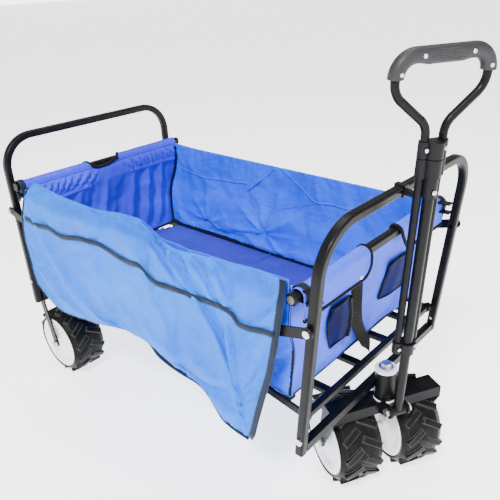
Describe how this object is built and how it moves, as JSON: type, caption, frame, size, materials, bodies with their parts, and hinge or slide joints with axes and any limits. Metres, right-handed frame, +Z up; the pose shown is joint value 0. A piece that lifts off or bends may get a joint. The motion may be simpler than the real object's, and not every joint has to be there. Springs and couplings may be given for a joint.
{
  "type": "folding wagon",
  "caption": "Folding utility wagon with a cloth basket, hoop end frames, chunky lugged wheels, a steered front axle and a telescoping pull handle.",
  "frame": {"origin": "centre of the bounding box, on the ground under the wheels", "axes": "+X towards the pull handle along the wagon, +Y across the wagon, +Z up"},
  "size_m": [1.0425, 0.5124, 0.8348],
  "materials": {
    "black_paint": "semi-gloss powder coat",
    "blue_cloth": "coated woven polyester",
    "dark_mesh": "open mesh",
    "black_webbing": "ribbed webbing",
    "tyre": "moulded lugs",
    "white_plastic": "gloss",
    "black_plastic": "fine texture",
    "bright_steel": "zinc plated"
  },
  "bodies": {
    "front_frame": {"front_hoop": "black_paint", "front_feet": "black_plastic", "steering_crossbar": "black_paint", "floor_crossbar_front": "black_paint", "floor_pivot_tube_front": "black_paint", "head_tube": "black_paint", "head_bushes": "white_plastic", "handle_clip": "black_plastic", "front_rail": "black_paint", "front_rail_caps": "black_plastic", "front_rail_bolts": "bright_steel", "front_rail_brackets": "black_paint", "front_rivets": "bright_steel", "front_wall": "blue_cloth", "front_pockets": "dark_mesh", "front_strap": "black_webbing", "side_wall_near": "blue_cloth", "side_wall_far": "blue_cloth", "side_flap": "blue_cloth"},
    "rear_frame": {"rear_hoop": "black_paint", "rear_feet": "black_plastic", "rear_cross_beam": "black_paint", "floor_pivot_tube_rear": "black_paint", "rear_rail": "black_paint", "rear_rail_caps": "black_plastic", "rear_rail_struts": "black_paint", "rear_forks": "black_paint", "rear_inner_forks": "black_paint", "rear_axles": "bright_steel", "rear_axle_nuts": "bright_steel", "rear_rivets": "bright_steel", "rear_wall": "blue_cloth"},
    "floor_front": {"floor_frame_front": "black_paint", "floor_panel_front": "blue_cloth"},
    "floor_rear": {"floor_frame_rear": "black_paint", "floor_panel_rear": "blue_cloth"},
    "links_front": {"links_front": "black_paint"},
    "stays_front": {"stays_front": "black_paint"},
    "links_rear": {"links_rear": "black_paint"},
    "stays_rear": {"stays_rear": "black_paint"},
    "steering": {"steering_beam": "black_paint", "kingpin": "bright_steel", "handle_ears": "black_paint", "hinge_bolt": "bright_steel", "front_axle": "bright_steel", "front_axle_nuts": "bright_steel"},
    "wheel_front_near": {"tyre_front_near": "tyre", "hub_front_near": "white_plastic"},
    "wheel_front_far": {"tyre_front_far": "tyre", "hub_front_far": "white_plastic"},
    "wheel_rear_near": {"tyre_rear_near": "tyre", "hub_rear_near": "white_plastic"},
    "wheel_rear_far": {"tyre_rear_far": "tyre", "hub_rear_far": "white_plastic"},
    "handle": {"handle_tube": "black_paint", "handle_sleeve": "black_plastic"},
    "handle_slider": {"handle_rods": "black_paint", "rod_clamp": "black_plastic", "rod_block": "black_plastic", "grip_shells": "black_plastic"}
  },
  "joints": [
    {"name": "floor_fold", "type": "hinge", "parent": "front_frame", "child": "floor_front", "pos_m": [0.3134, 0, 0.2744], "axis": [0, 1, 0], "range_deg": [0, 75], "deforming": ["side_wall_near", "side_wall_far", "side_flap"]},
    {"name": "floor_middle", "type": "hinge", "parent": "floor_front", "child": "floor_rear", "pos_m": [-0.04935, 0, 0.2744], "axis": [0, 1, 0], "range_deg": [-150, 0]},
    {"name": "rear_frame_close", "type": "hinge", "parent": "floor_rear", "child": "rear_frame", "pos_m": [-0.4121, 0, 0.2744], "axis": [0, 1, 0], "range_deg": [0, 75]},
    {"name": "front_link_swing", "type": "hinge", "parent": "front_frame", "child": "links_front", "pos_m": [0.39914, 0, 0.4635], "axis": [0, 1, 0], "range_deg": [-60, 0]},
    {"name": "front_stay_swing", "type": "hinge", "parent": "front_frame", "child": "stays_front", "pos_m": [0.3684, 0, 0.2744], "axis": [0, 1, 0], "range_deg": [0, 60]},
    {"name": "rear_link_swing", "type": "hinge", "parent": "rear_frame", "child": "links_rear", "pos_m": [-0.4571, 0, 0.4635], "axis": [0, 1, 0], "range_deg": [0, 60]},
    {"name": "rear_stay_swing", "type": "hinge", "parent": "rear_frame", "child": "stays_rear", "pos_m": [-0.4571, 0, 0.2744], "axis": [0, 1, 0], "range_deg": [-60, 0]},
    {"name": "steering_turn", "type": "hinge", "parent": "front_frame", "child": "steering", "pos_m": [0.3958, 0, 0.2], "axis": [0, 0, 1], "range_deg": [-11, 69]},
    {"name": "front_near_spin", "type": "hinge", "parent": "steering", "child": "wheel_front_near", "pos_m": [0.33232, -0.04027, 0.089], "axis": [0.4848, 0.8746, 0], "continuous": true},
    {"name": "front_far_spin", "type": "hinge", "parent": "steering", "child": "wheel_front_far", "pos_m": [0.39631, 0.07518, 0.089], "axis": [0.4848, 0.8746, 0], "continuous": true},
    {"name": "rear_near_spin", "type": "hinge", "parent": "rear_frame", "child": "wheel_rear_near", "pos_m": [-0.4331, -0.1765, 0.089], "axis": [0, 1, 0], "continuous": true},
    {"name": "rear_far_spin", "type": "hinge", "parent": "rear_frame", "child": "wheel_rear_far", "pos_m": [-0.4331, 0.1765, 0.089], "axis": [0, 1, 0], "continuous": true},
    {"name": "handle_tilt", "type": "hinge", "parent": "steering", "child": "handle", "pos_m": [0.43516, -0.02182, 0.192], "axis": [0.4848, 0.8746, 0], "range_deg": [0, 78]},
    {"name": "handle_extend", "type": "slide", "parent": "handle", "child": "handle_slider", "axis": [0.0747, -0.0414, 0.9963], "range_m": [0, 0.26]}
  ],
  "couplings": [
    {"joint": "floor_middle", "follows": "floor_fold", "ratio": -2},
    {"joint": "rear_frame_close", "follows": "floor_fold", "ratio": 1},
    {"joint": "front_link_swing", "follows": "floor_fold", "ratio": -0.8},
    {"joint": "front_stay_swing", "follows": "floor_fold", "ratio": 0.8},
    {"joint": "rear_link_swing", "follows": "floor_fold", "ratio": 0.8},
    {"joint": "rear_stay_swing", "follows": "floor_fold", "ratio": -0.8}
  ]
}
